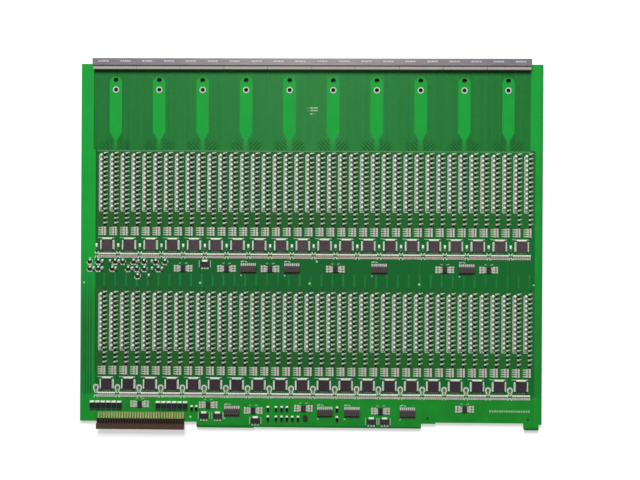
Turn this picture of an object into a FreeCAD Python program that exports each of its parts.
import FreeCAD, Part
import Sketcher
import os
import re

# A connector backplane: a wide circuit board with a long rail of sockets on one edge, two banks of
# switch chips with their columns of chip resistors and capacitors, and a cable header on the other edge.
# It lies flat: +X runs along the rail, +Y points to the rail's edge, +Z stands up from the board's face.
# The origin is in the middle of the part's box, on the underside of the board.

DIMENSIONS = (
    # Board
    ("board_thickness", 2.4, "thickness of the laminate"),
    ("left_margin", 17.2, "first switch chip's centre to the left edge"),
    ("right_margin", 13.2, "last switch chip's centre to the right edge"),
    ("first_row_setback", 58.8, "rail edge to the first resistor row"),
    ("mid_band_depth", 31.9, "upper chip row to the lower bank's first resistor row"),
    ("foot_band_depth", 24.1, "lower chip row to the foot edge"),
    ("corner_radius", 1.0, "rounding of the tabs' corners"),
    # Tabs and relief of the foot edge
    ("tab_depth", 3.6, "reach of the tabs past the foot edge"),
    ("tab_gap", 7.7, "header's end to the main tab"),
    ("deep_tab_width", 36.9, "width of the main tab's full-depth stretch"),
    ("tab_step", 0.5, "how much the rest of the main tab is shallower"),
    ("relief_width", 65.6, "main tab to the corner tab"),
    ("corner_tab_width", 9.4, "width of the tab at the right corner"),
    ("corner_tab_inset", 1.8, "right edge to the corner tab"),
    ("relief_cut_width", 56.5, "width of the shallow cut beside the corner tab"),
    ("relief_cut_depth", 0.8, "depth of that cut"),
    # Holes behind the rail, one pair to a connector insert
    ("guide_hole_setback", 10.4, "rail edge to the guide holes"),
    ("guide_hole_diameter", 3.1, "bore of the guide holes"),
    ("screw_hole_setback", 16.6, "rail edge to the screw holes"),
    ("screw_hole_diameter", 2.7, "bore of the screw holes, for a 2.5 mm screw"),
    # Connector rail
    ("rail_overhang", 2.9, "reach of the rail past the board's edge"),
    ("rail_seat", 1.5, "depth of the rail over the board"),
    ("rail_height", 4.5, "height of the rail above the board"),
    ("rail_end_wall", 0.25, "thickness of the rail's ends"),
    ("rail_clearance", 0.1, "gap between the rail's top and the inserts"),
    # Connector inserts
    ("ports_per_insert", 2, "ports in one insert"),
    ("insert_clearance", 0.2, "gap between neighbouring inserts"),
    ("insert_recess", 0.3, "rail's front to an insert's front"),
    ("insert_rear_reach", 2.3, "reach of an insert behind the rail"),
    ("insert_height", 3.5, "height of an insert"),
    ("port_height", 1.75, "middle of the ports above the board"),
    ("slot_width", 10.5, "width of a port's slot"),
    ("slot_height", 2.1, "height of a port's slot"),
    ("slot_depth", 3.2, "depth of a port's slot"),
    ("tongue_width", 9.6, "width of the contact tongue in a slot"),
    ("tongue_thickness", 0.6, "thickness of that tongue"),
    ("tongue_length", 2.6, "length of that tongue"),
    # Cable header
    ("header_inset", 11.1, "left edge to the header"),
    ("header_contact_count", 33, "contacts in the header"),
    ("header_contact_pitch", 1.7, "pitch of the contacts"),
    ("header_end_wall", 0.2, "housing past the end contacts' spaces"),
    ("header_seat", 2.0, "depth of the header over the board"),
    ("header_overhang", 4.6, "reach of the header past the foot edge"),
    ("header_step_depth", 3.2, "depth of the low step behind the header's body"),
    ("header_step_height", 1.4, "height of that step"),
    ("header_height", 3.2, "height of the header's body"),
    ("header_slot_height", 1.6, "height of the mating slot"),
    ("header_slot_depth", 2.6, "depth of the mating slot"),
    ("header_slot_rise", 0.8, "board's face to the mating slot"),
    ("header_slot_inset", 1.2, "housing's ends to the mating slot"),
    ("tail_width", 0.8, "width of a contact tail"),
    ("tail_thickness", 0.3, "thickness of a contact tail"),
    ("tail_length", 3.7, "length of a contact tail"),
    # Switch chips
    ("chip_count", 20, "switch chips in a bank"),
    ("chip_pitch", 14.0, "pitch of the switch chips and the ports"),
    ("chip_body", 7.0, "side of a switch chip's body"),
    ("chip_height", 1.4, "height of that body"),
    ("lead_span", 9.0, "side of a switch chip over its leads"),
    ("lead_thickness", 0.2, "thickness of every chip's leads"),
    # Columns of chip resistors and capacitors, two columns to a switch chip
    ("row_pitch", 3.0, "pitch of the chips along a column"),
    ("resistor_rows", 16, "resistors in a column"),
    ("capacitor_rows", 12, "capacitors in a column"),
    ("resistor_shift", 1.6, "column's middle to its resistors"),
    ("capacitor_shift", 0.6, "column's middle to its capacitors"),
    ("capacitor_stagger", 1.2, "first resistor row to the first capacitor row"),
    ("resistor_length", 2.0, "length of a chip resistor"),
    ("resistor_width", 1.25, "width of a chip resistor"),
    ("resistor_height", 0.6, "height of a chip resistor"),
    ("capacitor_length", 2.0, "length of a chip capacitor"),
    ("capacitor_width", 1.25, "width of a chip capacitor"),
    ("capacitor_height", 1.0, "height of a chip capacitor"),
    # Resistor networks at the foot of the columns
    ("network_offset", 3.95, "last resistor row to the networks"),
    ("network_shift", 1.15, "column's middle to its network"),
    ("network_length", 5.7, "length of a network"),
    ("network_width", 2.2, "width of a network"),
    ("network_height", 0.6, "height of a network"),
    ("chip_offset", 8.75, "networks to the switch chips"),
    # Bypass capacitors round the switch chips
    ("strip_offset", 6.5, "switch chips to their bypass strips"),
    ("strip_length", 11.6, "length of a bypass strip"),
    ("strip_width", 1.8, "width of a bypass strip"),
    ("strip_height", 0.8, "height of a bypass strip"),
    ("bypass_offset", 2.4, "switch chips to the single bypass capacitors"),
    # Logic chips
    ("mid_row_offset", 15.0, "upper switch chips to the middle band's chips"),
    ("foot_row_offset", 17.3, "lower switch chips to the foot band's logic chips"),
    ("logic_length", 9.9, "length of a logic chip"),
    ("logic_width", 3.9, "width of its body"),
    ("logic_height", 1.5, "height of its body"),
    ("logic_bevel", 0.8, "bevel along its first pin row"),
    ("logic_lead_row", 9.3, "length of its lead rows"),
    ("logic_lead_span", 6.0, "width over its leads"),
    # Amplifier chips with stacked resistors on both sides
    ("amplifier_width", 3.0, "width of an amplifier chip"),
    ("amplifier_length", 4.0, "length of an amplifier chip"),
    ("amplifier_height", 1.1, "height of an amplifier chip"),
    ("stack_shift", 4.4, "amplifier's middle to the stacked resistors"),
    ("stack_count", 3, "resistors in a stack"),
    ("stack_pitch", 1.5, "pitch of the stacked resistors"),
    # Other chips
    ("regulator_length", 5.8, "length of a regulator"),
    ("regulator_width", 3.2, "width of a regulator"),
    ("regulator_height", 1.6, "height of a regulator"),
    ("bead_offset", 13.8, "lower switch chips to the ferrite beads"),
    ("bead_pitch", 3.5, "pitch of the ferrite beads"),
    ("bead_length", 4.5, "length of a ferrite bead"),
    ("bead_width", 3.0, "width of a ferrite bead"),
    ("bead_height", 1.5, "height of a ferrite bead"),
    ("cluster_row_offset", 11.1, "upper switch chips to the first transistor row"),
    ("cluster_row_pitch", 4.6, "pitch of the transistor rows"),
    ("transistor_side", 2.4, "side of a transistor"),
    ("transistor_height", 1.0, "height of a transistor"),
    ("pull_up_offset", 15.7, "lower switch chips to the first pull-up row"),
    ("pull_up_row_pitch", 6.2, "pitch of the pull-up rows"),
    ("pull_up_length", 3.2, "length of a pull-up resistor"),
    ("pull_up_width", 1.6, "width of a pull-up resistor"),
    ("pull_up_height", 0.6, "height of a pull-up resistor"),
    ("coil_offset", 20.5, "lower switch chips to the coil"),
    ("coil_diameter", 3.2, "diameter of the coil"),
    ("coil_height", 2.0, "height of the coil"),
)

# Places along the rows, counted in chip pitches from the first switch chip.
MID_LOGIC_PLACES = (6.5, 8.5, 12.5, 16.5)
FOOT_LOGIC_PLACES = (5.78, 10.05, 11.29, 13.83)
MID_AMPLIFIER_PLACES = (3.5, 5.5, 7.5, 10.5, 15.5, 17.5)
LEFT_BEAD_START, LEFT_BEAD_COUNT = -0.66, 6
RIGHT_BEAD_START, RIGHT_BEAD_COUNT = 2.38, 6
TRANSISTOR_ROWS = (
    (-0.81, -0.42, 0.36, 0.71, 1.21, 1.69, 2.23, 2.66),
    (-0.81, -0.42, 0.23, 0.96, 1.36, 1.71, 2.36),
    (1.40,),
)
CLUSTER_CAPACITOR_ROWS = (
    (-0.22, 0.13, 0.54, 1.44, 2.06),
    (-0.62, -0.22, 0.39, 1.16, 2.07, 2.53),
    (1.93,),
)
PULL_UP_ROWS = (
    (3.93, 4.14, 7.44, 7.81, 8.07, 8.31, 10.61),
    (7.44, 7.81, 8.07, 8.31, 8.56, 8.82, 10.61),
)
COIL_PLACE = 9.15

# Places of single chips, in chip pitches too: from the first switch chip, then from the chip row.
FOOT_AMPLIFIER_PLACES = (
    (1.53, 0.92),
    (4.69, 0.94),
    (6.76, 1.18),
    (9.07, 1.06),
    (12.60, 1.16),
    (16.44, 1.04),
)
MID_REGULATOR_PLACES = ((4.5, 0.87),)
FOOT_REGULATOR_PLACES = ((4.49, 1.44), (5.12, 1.44), (6.86, 1.64), (12.18, 1.64), (12.79, 1.64))

doc = FreeCAD.newDocument("connector_backplane")
sheet = doc.addObject("Spreadsheet::Sheet", "Dimensions")
for row, (alias, size, note) in enumerate(DIMENSIONS, start=1):
    sheet.set(f"A{row}", alias)
    sheet.set(f"B{row}", str(size))
    sheet.setAlias(f"B{row}", alias)
    sheet.set(f"C{row}", note)
doc.recompute()
ALIASES = {alias for alias, size, note in DIMENSIONS}
sub_parts = []


def bound(expression):
    """The expression with each alias in it pointing at its cell of the sheet."""

    def cell(word):
        return f"Dimensions.{word[0]}" if word[0] in ALIASES else word[0]

    return re.sub(r"[a-z_]+", cell, expression)


def tie(item, bindings):
    """Binds properties of an object to expressions of the sheet's aliases."""
    for name, expression in bindings.items():
        item.setExpression(name, bound(expression))


def keep(item, label):
    """Names a finished sub-part, whose label is its file's name."""
    item.Label = label
    sub_parts.append(item)
    return item


def count(alias):
    """A whole number from the sheet, for a loop."""
    return int(sheet.get(alias))


# Lines that the pieces share, as expressions of the sheet's aliases.
BANK_DEPTH = "((resistor_rows - 1) * row_pitch + network_offset + chip_offset)"
BOARD_WIDTH = "((chip_count - 1) * chip_pitch + left_margin + right_margin)"
BOARD_DEPTH = f"(first_row_setback + 2 * {BANK_DEPTH} + mid_band_depth + foot_band_depth)"
LEFT_EDGE = f"(0 - {BOARD_WIDTH} / 2)"
RAIL_EDGE = f"(({BOARD_DEPTH} + header_overhang - rail_overhang) / 2)"
FOOT_EDGE = f"({RAIL_EDGE} - {BOARD_DEPTH})"
FIRST_CHIP = f"({LEFT_EDGE} + left_margin)"
FIRST_COLUMN = f"({FIRST_CHIP} - chip_pitch / 4)"
INSERT_PITCH = "(ports_per_insert * chip_pitch)"
INSERT_COUNT = count("chip_count") // count("ports_per_insert")
FIRST_INSERT = f"(0 - {INSERT_PITCH} * {INSERT_COUNT - 1} / 2)"
HEADER_LENGTH = "(header_contact_count * header_contact_pitch + 2 * header_end_wall)"
HEADER_LEFT = f"({LEFT_EDGE} + header_inset)"


def first_row(bank):
    """Y of a bank's first resistor row: bank 0 is the one by the rail."""
    return f"({RAIL_EDGE} - first_row_setback - {bank} * ({BANK_DEPTH} + mid_band_depth))"


def chip_row(bank):
    """Y of a bank's switch chips."""
    return f"({first_row(bank)} - {BANK_DEPTH})"


def single_line(bank, pitches):
    """Y of a chip by itself, counted in chip pitches from a bank's switch chips."""
    return f"({chip_row(bank)} - {pitches} * chip_pitch)"


def place_along(pitches):
    """X of a place that is counted in chip pitches from the first switch chip."""
    return f"({FIRST_CHIP} + {pitches} * chip_pitch)"


def flat_sketch(body, name, base):
    """An empty sketch that lies flat in a body, at a height."""
    sketch = body.newObject("Sketcher::SketchObject", name)
    floor = next(plane for plane in body.Origin.OriginFeatures if plane.Role == "XY_Plane")
    sketch.AttachmentSupport = [(floor, "")]
    sketch.MapMode = "FlatFace"
    tie(sketch, {"AttachmentOffset.Base.z": base})
    return sketch


def dimension(sketch, name, kind, places, expression):
    """A named driving constraint of a sketch, bound to the sheet."""
    start = 1.0
    number = sketch.addConstraint(Sketcher.Constraint(kind, *places, start))
    sketch.renameConstraint(number, name)
    tie(sketch, {f"Constraints.{name}": expression})


def rectangle(body, name, base, left, front, wide, deep):
    """A sketch of a rectangle, from its left front corner and its two sides."""
    sketch = flat_sketch(body, name, base)
    corners = [FreeCAD.Vector(x, y, 0) for x, y in ((1, 1), (2, 1), (2, 2), (1, 2))]
    for side in range(4):
        sketch.addGeometry(Part.LineSegment(corners[side], corners[(side + 1) % 4]), False)
    for side in range(4):
        sketch.addConstraint(Sketcher.Constraint("Coincident", side, 2, (side + 1) % 4, 1))
        sketch.addConstraint(Sketcher.Constraint("Vertical" if side % 2 else "Horizontal", side))
    dimension(sketch, "left", "DistanceX", (-1, 1, 0, 1), left)
    dimension(sketch, "front", "DistanceY", (-1, 1, 0, 1), front)
    dimension(sketch, "wide", "DistanceX", (0, 1, 0, 2), wide)
    dimension(sketch, "deep", "DistanceY", (1, 1, 1, 2), deep)
    return sketch


def pad(body, name, base, left, front, wide, deep, tall):
    """A rectangular pad in a body."""
    feature = body.newObject("PartDesign::Pad", name)
    feature.Profile = rectangle(body, f"{name}_outline", base, left, front, wide, deep)
    tie(feature, {"Length": tall})
    body.Tip = feature
    doc.recompute()
    return feature


def pattern(body, name, feature, pitch, copies):
    """Copies of a body's feature along X."""
    row = body.newObject("PartDesign::LinearPattern", name)
    row.Originals = [feature]
    row.Direction = (feature.Profile[0], ["H_Axis"])
    tie(row, {"Length": f"{pitch} * ({copies} - 1)", "Occurrences": f"{copies}"})
    body.Tip = row
    doc.recompute()
    return row


def block_row(label, middle, centre, base, size, pitch, copies):
    """A row of like blocks along X, as separate solids: the first one's middle, then pitch and number."""
    wide, deep, tall = size
    body = doc.addObject("PartDesign::Body", label)
    left = f"{middle} - {wide} / 2"
    front = f"{centre} - {deep} / 2"
    first = pad(body, f"{label}_block", base, left, front, wide, deep, tall)
    pattern(body, f"{label}_row", first, pitch, copies)
    return keep(body, label)


def block(name, corner, size):
    """A box from its lowest corner and its sides."""
    box = doc.addObject("Part::Box", name)
    tie(box, dict(zip(("Length", "Width", "Height"), size)))
    tie(box, {f"Placement.Base.{axis}": place for axis, place in zip("xyz", corner)})
    return box


def chip(name, middle, centre, size, base="board_thickness"):
    """A box on the board, from the middle of its face."""
    return block(name, (f"{middle} - {size[0]} / 2", f"{centre} - {size[1]} / 2", base), size)


def group(name, pieces):
    """Several solids as one object."""
    compound = doc.addObject("Part::Compound", name)
    compound.Links = pieces
    return compound


def cut(name, base, tools):
    """A solid with others taken out of it."""
    difference = doc.addObject("Part::Cut", name)
    difference.Base = base
    difference.Tool = group(f"{name}_tools", tools)
    return difference


# Circuit board: one laminate with tabs on its foot edge and two rows of holes behind the rail.
board = doc.addObject("PartDesign::Body", "circuit_board")
HEADER_RIGHT = f"({HEADER_LEFT} + {HEADER_LENGTH})"
MAIN_TAB_LEFT = f"({HEADER_RIGHT} + tab_gap)"
CORNER_TAB_LEFT = f"({BOARD_WIDTH} / 2 - corner_tab_inset - corner_tab_width)"
MAIN_TAB_RIGHT = f"({CORNER_TAB_LEFT} - relief_width)"
# A tab's pad starts this far inside the board, so that the two join.
TAB_ROOT = "foot_band_depth / 4"
pad(board, "laminate", "0", LEFT_EDGE, FOOT_EDGE, BOARD_WIDTH, BOARD_DEPTH, "board_thickness")
for name, left, wide, reach in (
    ("deep_tab", MAIN_TAB_LEFT, "deep_tab_width", "tab_depth"),
    ("shallow_tab", MAIN_TAB_LEFT, f"{MAIN_TAB_RIGHT} - {MAIN_TAB_LEFT}", "(tab_depth - tab_step)"),
    ("corner_tab", CORNER_TAB_LEFT, "corner_tab_width", "tab_depth"),
):
    pad(board, name, "0", left, f"{FOOT_EDGE} - {reach}", wide, f"{reach} + {TAB_ROOT}", "board_thickness")
relief = board.newObject("PartDesign::Pocket", "relief")
relief.Profile = rectangle(
    board,
    "relief_outline",
    "board_thickness",
    f"{CORNER_TAB_LEFT} - relief_cut_width",
    f"{FOOT_EDGE} - tab_depth",
    "relief_cut_width",
    "tab_depth + relief_cut_depth",
)
relief.Type = "ThroughAll"
board.Tip = relief
doc.recompute()
for name in ("guide_hole", "screw_hole"):
    sketch = flat_sketch(board, f"{name}_outline", "board_thickness")
    sketch.addGeometry(Part.Circle(FreeCAD.Vector(1, 1, 0), FreeCAD.Vector(0, 0, 1), 1), False)
    dimension(sketch, "place", "DistanceX", (-1, 1, 0, 3), FIRST_INSERT)
    dimension(sketch, "setback", "DistanceY", (-1, 1, 0, 3), f"{RAIL_EDGE} - {name}_setback")
    dimension(sketch, "bore", "Diameter", (0,), f"{name}_diameter")
    hole = board.newObject("PartDesign::Pocket", name)
    hole.Profile = sketch
    hole.Type = "ThroughAll"
    board.Tip = hole
    doc.recompute()
    drilled = pattern(board, f"{name}_row", hole, INSERT_PITCH, str(INSERT_COUNT))
tab_outline = doc.getObject("deep_tab_outline")
step_place = tab_outline.getDatum("left").Value + sheet.get("deep_tab_width")
tab_line = drilled.Shape.BoundBox.YMin + sheet.get("tab_depth") / 2
tab_corners = [
    f"Edge{number}"
    for number, edge in enumerate(drilled.Shape.Edges, start=1)
    if abs(edge.tangentAt(edge.FirstParameter).z) > 0.99
    and edge.CenterOfMass.y < tab_line
    and abs(edge.CenterOfMass.x - step_place) > sheet.get("tab_step")
]
rounding = board.newObject("PartDesign::Fillet", "tab_rounding")
rounding.Base = (drilled, tab_corners)
tie(rounding, {"Radius": "min(corner_radius; (tab_depth - tab_step) * 0.8)"})
board.Tip = rounding
keep(board, "circuit_board")

# Connector rail: a cover over the inserts, closed at its ends, that stands on the board.
RAIL_SPAN = f"({INSERT_PITCH} * {INSERT_COUNT} - insert_clearance)"
RAIL_LENGTH = f"({RAIL_SPAN} + 2 * rail_end_wall)"
RAIL_REAR = f"({RAIL_EDGE} - rail_seat)"
RAIL_DEPTH = "(rail_overhang + rail_seat)"
bar = block(
    "rail_bar",
    (f"0 - {RAIL_LENGTH} / 2", RAIL_REAR, "board_thickness"),
    (RAIL_LENGTH, RAIL_DEPTH, "rail_height"),
)
bay = block(
    "rail_bay",
    (f"0 - {RAIL_SPAN} / 2", f"{RAIL_REAR} - {RAIL_DEPTH}", "board_thickness - rail_clearance"),
    (RAIL_SPAN, f"3 * {RAIL_DEPTH}", "insert_height + 2 * rail_clearance"),
)
keep(cut("rail", bar, [bay]), "connector_rail")

# Connector inserts: plastic bodies under the rail, with a slot for each port.
INSERT_REAR = f"({RAIL_REAR} - insert_rear_reach)"
INSERT_FRONT = f"({RAIL_EDGE} + rail_overhang - insert_recess)"
FIRST_PORT = f"({FIRST_INSERT} - {INSERT_PITCH} / 2 + chip_pitch / 2)"
port_count = INSERT_COUNT * count("ports_per_insert")
SLOT_FLOOR = f"({INSERT_FRONT} - slot_depth)"
for insert in range(INSERT_COUNT):
    middle = f"({FIRST_INSERT} + {insert} * {INSERT_PITCH})"
    length = f"({INSERT_PITCH} - insert_clearance)"
    shell = block(
        f"insert_shell_{insert + 1:02d}",
        (f"{middle} - {length} / 2", INSERT_REAR, "board_thickness"),
        (length, f"{INSERT_FRONT} - {INSERT_REAR}", "insert_height"),
    )
    slots = [
        block(
            f"insert_slot_{insert + 1:02d}_{port + 1}",
            (
                f"{FIRST_PORT} + {insert * count('ports_per_insert') + port} * chip_pitch - slot_width / 2",
                SLOT_FLOOR,
                "board_thickness + port_height - slot_height / 2",
            ),
            ("slot_width", "2 * slot_depth", "slot_height"),
        )
        for port in range(count("ports_per_insert"))
    ]
    keep(cut(f"insert_{insert + 1:02d}", shell, slots), f"connector_insert_{insert + 1:02d}")

# Contact tongues: one in each slot, standing on the slot's floor.
block_row(
    "contact_tongues",
    FIRST_PORT,
    f"({SLOT_FLOOR} + tongue_length / 2)",
    "board_thickness + port_height - tongue_thickness / 2",
    ("tongue_width", "tongue_length", "tongue_thickness"),
    "chip_pitch",
    str(port_count),
)

# Cable header: a stepped housing over the foot edge, with a mating slot in its front.
HEADER_REAR = f"({FOOT_EDGE} + header_seat)"
HEADER_FRONT = f"({FOOT_EDGE} - header_overhang)"
step = block(
    "header_step",
    (HEADER_LEFT, HEADER_FRONT, "board_thickness"),
    (HEADER_LENGTH, f"{HEADER_REAR} - {HEADER_FRONT}", "header_step_height"),
)
tower = block(
    "header_tower",
    (HEADER_LEFT, HEADER_FRONT, "board_thickness"),
    (HEADER_LENGTH, f"{HEADER_REAR} - {HEADER_FRONT} - header_step_depth", "header_height"),
)
housing = doc.addObject("Part::Fuse", "header_blank")
housing.Base = step
housing.Tool = tower
housing.Refine = True
mating_slot = block(
    "header_slot",
    (
        f"{HEADER_LEFT} + header_slot_inset",
        f"{HEADER_FRONT} - header_slot_depth",
        "board_thickness + header_slot_rise",
    ),
    (f"{HEADER_LENGTH} - 2 * header_slot_inset", "2 * header_slot_depth", "header_slot_height"),
)
keep(cut("header", housing, [mating_slot]), "header_housing")

# Header contacts: a row of tails on the board behind the housing.
block_row(
    "header_contacts",
    f"({HEADER_LEFT} + header_end_wall + header_contact_pitch / 2)",
    f"({HEADER_REAR} + tail_length / 2)",
    "board_thickness",
    ("tail_width", "tail_length", "tail_thickness"),
    "header_contact_pitch",
    "header_contact_count",
)

# Banks: switch chips on their lead frames, columns of resistors and capacitors, networks and bypass chips.
for bank, side in enumerate(("upper", "lower")):
    chips = chip_row(bank)
    block_row(
        f"switch_chip_leads_{side}",
        FIRST_CHIP,
        chips,
        "board_thickness",
        ("lead_span", "lead_span", "lead_thickness"),
        "chip_pitch",
        "chip_count",
    )
    block_row(
        f"switch_chips_{side}",
        FIRST_CHIP,
        chips,
        "board_thickness + lead_thickness",
        ("chip_body", "chip_body", "chip_height"),
        "chip_pitch",
        "chip_count",
    )
    for name, rows, shift, start in (
        ("resistor", "resistor_rows", "resistor_shift", "0"),
        ("capacitor", "capacitor_rows", "0 - capacitor_shift", "capacitor_stagger"),
    ):
        block_row(
            f"{name}_columns_{side}",
            f"({FIRST_COLUMN} + {shift})",
            f"({first_row(bank)} - {start} - ({rows} - 1) * row_pitch / 2)",
            "board_thickness",
            (f"{name}_width", f"(({rows} - 1) * row_pitch + {name}_length)", f"{name}_height"),
            "chip_pitch / 2",
            "2 * chip_count",
        )
    block_row(
        f"resistor_networks_{side}",
        f"({FIRST_COLUMN} + network_shift)",
        f"({chips} + chip_offset)",
        "board_thickness",
        ("network_width", "network_length", "network_height"),
        "chip_pitch / 2",
        "2 * chip_count",
    )
    block_row(
        f"bypass_strips_{side}",
        FIRST_CHIP,
        f"({chips} - strip_offset)",
        "board_thickness",
        ("strip_length", "strip_width", "strip_height"),
        "chip_pitch",
        "chip_count",
    )
    block_row(
        f"bypass_capacitors_{side}",
        f"({FIRST_CHIP} - chip_pitch / 2)",
        f"({chips} - bypass_offset)",
        "board_thickness",
        ("capacitor_width", "capacitor_length", "capacitor_height"),
        "chip_pitch",
        "chip_count",
    )

# Logic chips: bodies with a bevel along the first pin row, each on its lead rows.
logic_places = [(place, f"({chip_row(0)} - mid_row_offset)") for place in MID_LOGIC_PLACES]
logic_places += [(place, f"({chip_row(1)} - foot_row_offset)") for place in FOOT_LOGIC_PLACES]
logic_leads = []
SAME_LINE = 1e-6
for number, (place, centre) in enumerate(logic_places, start=1):
    lead_size = ("logic_lead_row", "logic_lead_span", "lead_thickness")
    logic_leads.append(chip(f"logic_leads_{number:02d}", place_along(place), centre, lead_size))
    body = chip(
        f"logic_body_{number:02d}",
        place_along(place),
        centre,
        ("logic_length", "logic_width", "logic_height"),
        "board_thickness + lead_thickness",
    )
    doc.recompute()
    box = body.Shape.BoundBox
    bevel_edges = [
        edge_number
        for edge_number, edge in enumerate(body.Shape.Edges, start=1)
        if abs(edge.CenterOfMass.y - box.YMax) < SAME_LINE
        and abs(edge.CenterOfMass.z - box.ZMax) < SAME_LINE
    ]
    bevel = sheet.get("logic_bevel")
    bevelled = doc.addObject("Part::Chamfer", f"logic_{number:02d}")
    bevelled.Base = body
    bevelled.Edges = [(edge_number, bevel, bevel) for edge_number in bevel_edges]
    keep(bevelled, f"logic_chip_{number:02d}")
keep(group("logic_lead_rows", logic_leads), "logic_chip_leads")

# Amplifier chips, each between two stacks of chip resistors, a stack joined to one strip.
amplifier_places = [(place, f"({chip_row(0)} - mid_row_offset)") for place in MID_AMPLIFIER_PLACES]
amplifier_places += [(place, single_line(1, offset)) for place, offset in FOOT_AMPLIFIER_PLACES]
amplifiers = []
stacks = []
STACK_DEPTH = "((stack_count - 1) * stack_pitch + resistor_width)"
stack_size = ("resistor_length", STACK_DEPTH, "resistor_height")
for number, (place, centre) in enumerate(amplifier_places, start=1):
    middle = place_along(place)
    amplifier_size = ("amplifier_width", "amplifier_length", "amplifier_height")
    amplifiers.append(chip(f"amplifier_{number:02d}", middle, centre, amplifier_size))
    stacks += [
        chip(f"stack_{number:02d}_{side}", f"({middle} {sign} stack_shift)", centre, stack_size)
        for side, sign in (("left", "-"), ("right", "+"))
    ]
keep(group("amplifiers", amplifiers), "amplifier_chips")
keep(group("stacks", stacks), "amplifier_resistors")

# Regulators.
regulator_places = [(place, single_line(0, offset)) for place, offset in MID_REGULATOR_PLACES]
regulator_places += [(place, single_line(1, offset)) for place, offset in FOOT_REGULATOR_PLACES]
regulator_size = ("regulator_length", "regulator_width", "regulator_height")
regulators = [
    chip(f"regulator_{number:02d}", place_along(place), centre, regulator_size)
    for number, (place, centre) in enumerate(regulator_places, start=1)
]
keep(group("regulator_set", regulators), "regulators")

# Ferrite beads: two rows in front of the header.
bead_size = ("bead_width", "bead_length", "bead_height")
beads = [
    chip(
        f"{side}_bead_{number + 1}",
        f"({place_along(start)} + {number} * bead_pitch)",
        f"({chip_row(1)} - bead_offset)",
        bead_size,
    )
    for side, start, amount in (
        ("left", LEFT_BEAD_START, LEFT_BEAD_COUNT),
        ("right", RIGHT_BEAD_START, RIGHT_BEAD_COUNT),
    )
    for number in range(amount)
]
keep(group("beads", beads), "ferrite_beads")


def chip_rows(name, rows, first_line, pitch, size):
    """Chips in rows: each row's places along X, the first row's Y and the pitch of the rows."""
    return [
        chip(f"{name}_{row + 1}_{number}", place_along(place), f"({first_line} - {row} * {pitch})", size)
        for row, places in enumerate(rows)
        for number, place in enumerate(places, start=1)
    ]


# Transistors and light capacitors of the cluster at the left of the middle band.
CLUSTER_LINE = f"({chip_row(0)} - cluster_row_offset)"
transistor_size = ("transistor_side", "transistor_side", "transistor_height")
capacitor_size = ("capacitor_width", "capacitor_length", "capacitor_height")
transistors = chip_rows("transistor", TRANSISTOR_ROWS, CLUSTER_LINE, "cluster_row_pitch", transistor_size)
keep(group("transistor_set", transistors), "transistors")
capacitors = chip_rows("capacitor", CLUSTER_CAPACITOR_ROWS, CLUSTER_LINE, "cluster_row_pitch", capacitor_size)
keep(group("capacitor_set", capacitors), "cluster_capacitors")

# Pull-up resistors and the coil of the foot band.
PULL_UP_LINE = f"({chip_row(1)} - pull_up_offset)"
pull_up_size = ("pull_up_width", "pull_up_length", "pull_up_height")
pull_ups = chip_rows("pull_up", PULL_UP_ROWS, PULL_UP_LINE, "pull_up_row_pitch", pull_up_size)
keep(group("pull_up_set", pull_ups), "pull_up_resistors")
coil = doc.addObject("Part::Cylinder", "coil_body")
tie(coil, {"Radius": "coil_diameter / 2", "Height": "coil_height"})
coil_corner = (place_along(COIL_PLACE), f"{chip_row(1)} - coil_offset", "board_thickness")
tie(coil, {f"Placement.Base.{axis}": place for axis, place in zip("xyz", coil_corner)})
keep(coil, "coil")

doc.recompute()
failed = [item.Label for item in doc.Objects if {"Invalid", "Error"} & set(item.State)]
broken = [item.Label for item in sub_parts if item.Shape.isNull() or not item.Shape.isValid()]
if failed or broken:
    raise RuntimeError(f"failed objects {failed}, broken shapes {broken}")
os.makedirs("parts", exist_ok=True)
for item in sub_parts:
    item.Shape.exportStep(f"parts/{item.Label}.step")
    print(item.Label, len(item.Shape.Solids), item.Shape.BoundBox)
